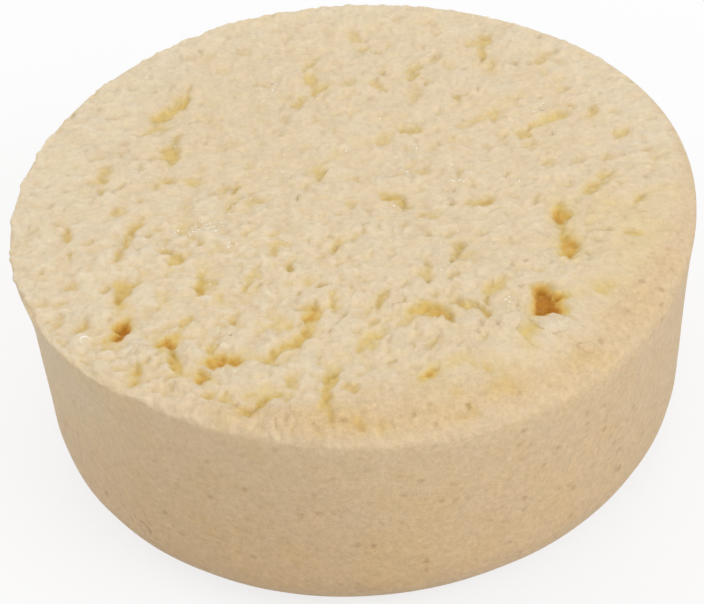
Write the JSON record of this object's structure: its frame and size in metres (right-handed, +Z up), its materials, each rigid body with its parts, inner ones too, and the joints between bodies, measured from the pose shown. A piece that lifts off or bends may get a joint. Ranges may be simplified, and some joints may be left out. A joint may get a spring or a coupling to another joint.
{
  "type": "shaving soap puck",
  "caption": "Round unwrapped puck of cream-coloured shaving soap with a tapered smooth side, rounded foot and crumbled, pitted top face.",
  "frame": {"origin": "centre of the round base, on the surface the puck rests on", "axes": "+Z up from the base through the crumbled top face, +Y to the back of the puck, +X to the right"},
  "size_m": [0.0678, 0.0678, 0.0276],
  "materials": {
    "pressed_soap": "matt",
    "loose_soap": "matt"
  },
  "bodies": {
    "root": {"soap_cake": "pressed_soap", "grain_back_rim": "loose_soap", "grain_left_curl": "loose_soap", "grain_left_ridge": "loose_soap", "grain_left_front": "loose_soap", "grain_crack_left": "loose_soap", "grain_crack_back": "loose_soap", "grain_crack_front": "loose_soap", "grain_front_rim": "loose_soap", "grain_hole_left": "loose_soap", "grain_hole_front": "loose_soap", "grain_middle": "loose_soap", "grain_right_bead": "loose_soap"}
  },
  "joints": []
}
